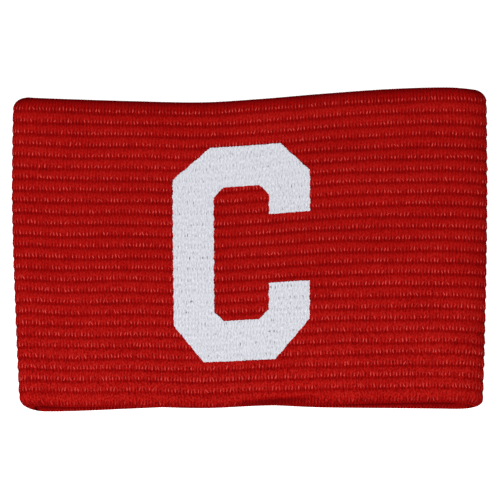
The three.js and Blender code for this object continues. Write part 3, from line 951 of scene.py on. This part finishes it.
def painted_hollow_shadow(look):
    """1 on the painted shadow line along the back's inner face, and 0 away from it."""
    covered = look.math("SUBTRACT", look.coordinate("across"), look.attribute("cover"))
    full = -HOLLOW_PAINTED_SHADOW["outside"]
    line = look.rise(covered, full - HOLLOW_PAINTED_SHADOW["blur"], full)
    line = look.math("MULTIPLY", line, look.rise(covered, HOLLOW_PAINTED_SHADOW["gone"], HOLLOW_PAINTED_SHADOW["full"]))
    return look.math("MULTIPLY", line, look.rise(look.coordinate("out"), *INNER_FACE_OUT))


FLOAT_LIGHT = {"dullest": 0.5, "brightest": 1.25, "fibres": 0.7}


def float_material():
    look = Shader("red_floats", roughness=0.6, specular=0.03)
    fibres = look.noise(scale=(5.0, 2.0, 2.0))
    shade = look.between(look.attribute("shade"), FLOAT_LIGHT["dullest"], FLOAT_LIGHT["brightest"])
    # Lighter along each float's ridge and darker at its sides: a painted highlight and painted shade.
    light = look.math("MULTIPLY", look.attribute("ridge_highlight"), shade)
    light = look.math("ADD", light, look.around(fibres, FLOAT_LIGHT["fibres"]), clamp=True)
    look.bump(fibres, distance=0.04)
    return look.colour(look.ramp(light, ((0.0, RED_DARK), (0.4, RED_MIDDLE), (1.0, RED_GLINT))))


LOOP_LIGHT = {"shade": 0.3, "ridge_highlight": 0.8, "fibres": 0.4}


def loop_material():
    look = Shader("red_selvedge", roughness=0.7, specular=0.0)
    fibres = look.noise(scale=(9.0, 2.5, 2.0))
    # Lighter along each turn's ridge and darker at its sides: a painted highlight and painted shade.
    light = look.math("MULTIPLY_ADD", look.attribute("shade"), LOOP_LIGHT["shade"], look.attribute("ridge_highlight"))
    fibres_light = look.around(fibres, LOOP_LIGHT["fibres"])
    light = look.math("MULTIPLY_ADD", light, LOOP_LIGHT["ridge_highlight"], fibres_light, clamp=True)
    return look.colour(look.ramp(light, ((0.0, RED_DARK), (0.6, RED_MIDDLE), (1.0, RED_LIGHT))))


# How light the print is at the fine noise's ends, and how dark the dashes between its yarns are
PRINT_LIGHT = {"darkest": -0.52, "lightest": 1.88, "dashes": -0.42, "dash_grain": 1.6}
DASH_SHARE = 0.35  # of the dashes' depth that shows where the webbing has no floats
SPECK_SHARE = 0.4  # of the specks' depth that shows there
SPECK_NOISE = (0.725, 0.745)  # from where the noise starts a speck, and from where it is full


def print_material():
    look = Shader("white_print", roughness=0.8, specular=0.1)
    yarns = look.yarn_wave(wander=1.6)
    fine = look.noise(scale=(3.8, 1.0, 1.0), detail=3.0)
    pits = look.noise(scale=(3.4, 0.55, 1.0), detail=0.0)
    floats = look.attribute("floats")
    dashes = look.math("MULTIPLY", yarns, look.between(floats, DASH_SHARE, 1.0))
    dashes = look.math("MULTIPLY", dashes, look.math("MULTIPLY", fine, PRINT_LIGHT["dash_grain"]))
    base = look.between(fine, PRINT_LIGHT["darkest"], PRINT_LIGHT["lightest"])
    grey = look.math("MULTIPLY_ADD", dashes, PRINT_LIGHT["dashes"], base, clamp=True)
    colour = look.ramp(grey, ((0.2, PRINT_GREY), (1.0, PRINT_WHITE)))
    speck = look.math("MULTIPLY", look.rise(pits, *SPECK_NOISE), look.between(floats, SPECK_SHARE, 1.0))
    look.bump(look.math("SUBTRACT", fine, dashes), distance=0.03)
    return look.colour(look.mix(speck, colour, (*PRINT_SPECK, 1)))


def thread_material():
    look = Shader("seam_thread", roughness=0.6, specular=0.2)
    twist = look.noise(scale=(5.0, 5.0, 5.0), detail=1.0)
    look.bump(twist, distance=0.05)
    return look.colour(look.ramp(twist, ((0.2, THREAD_DARK), (0.8, THREAD_LIGHT))))


FLOOR_REACH = 3.0  # from the middle of the floor to its edge
FLOOR_TONE = 0.6
FLOOR_GLOW = 1.0
SKY = 0.5
LAMPS = (
    {"name": "key", "place": (-0.12, -0.42, 0.75), "size": 0.5, "power": 6.2},
    {"name": "side", "place": (-0.9, 0.0, 0.25), "size": 0.5, "power": 1.2},
)


def floor_and_light():
    """A floor that looks white without a shadow, a pale sky, and two lamps, below the letter and far left."""
    reach = FLOOR_REACH
    corners = [(-reach, -reach, 0), (reach, -reach, 0), (reach, reach, 0), (-reach, reach, 0)]
    mesh = bpy.data.meshes.new("floor")
    mesh.from_pydata(corners, [], [[0, 1, 2, 3]])
    floor = bpy.data.objects.new("floor", mesh)
    bpy.context.scene.collection.objects.link(floor)
    look = Shader("pale_floor", roughness=0.9, specular=0.0)
    seen = look.tree.nodes.new("ShaderNodeLightPath").outputs["Is Camera Ray"]
    look.shader.inputs["Emission Color"].default_value = (1, 1, 1, 1)
    look.put(look.shader.inputs["Emission Strength"], look.math("MULTIPLY", seen, FLOOR_GLOW))
    mesh.materials.append(look.colour((FLOOR_TONE, FLOOR_TONE, FLOOR_TONE, 1)))

    world = bpy.data.worlds.new("pale_world")
    bpy.context.scene.world = world
    world.use_nodes = True
    background = world.node_tree.nodes["Background"]
    background.inputs["Color"].default_value = (1, 1, 1, 1)
    background.inputs["Strength"].default_value = SKY

    for row in LAMPS:
        light = bpy.data.lights.new(row["name"], "AREA")
        light.shape = "SQUARE"
        light.size = row["size"]
        light.energy = row["power"]
        lamp = bpy.data.objects.new(row["name"], light)
        bpy.context.scene.collection.objects.link(lamp)
        lamp.location = row["place"]
        lamp.rotation_euler = (-Vector(row["place"])).to_track_quat("-Z", "Y").to_euler()


def camera():
    """Straight down on the armband from far away, with the letter upright."""
    frame_width = 0.1639  # of what the picture shows, at the height of the folds
    height = 2.4
    fold_height = 0.005
    picture_shift = -0.00016
    view = bpy.data.cameras.new("camera")
    view.sensor_width = 36
    view.lens = view.sensor_width * (height - fold_height) / frame_width
    view.clip_end = 20
    eye = bpy.data.objects.new("camera", view)
    bpy.context.scene.collection.objects.link(eye)
    eye.location = (0, picture_shift, height)
    bpy.context.scene.camera = eye
    bpy.context.scene.view_settings.view_transform = "Standard"


WEBBING = webbing_material()
FLOATS = float_material()
LOOPS = loop_material()
PRINT = print_material()
THREAD = thread_material()

camera()
floor_and_light()
band = webbing()
front = (YARNS > (LEFT_START + FRONT_START) / 2) & (YARNS < (FRONT_END + RIGHT_END) / 2)
on_band = [
    weft_floats("weft_floats_front", front),
    weft_floats("weft_floats_back", ~front),
    selvedge_loops(),
    seam_stitches(),
    letter(),
]
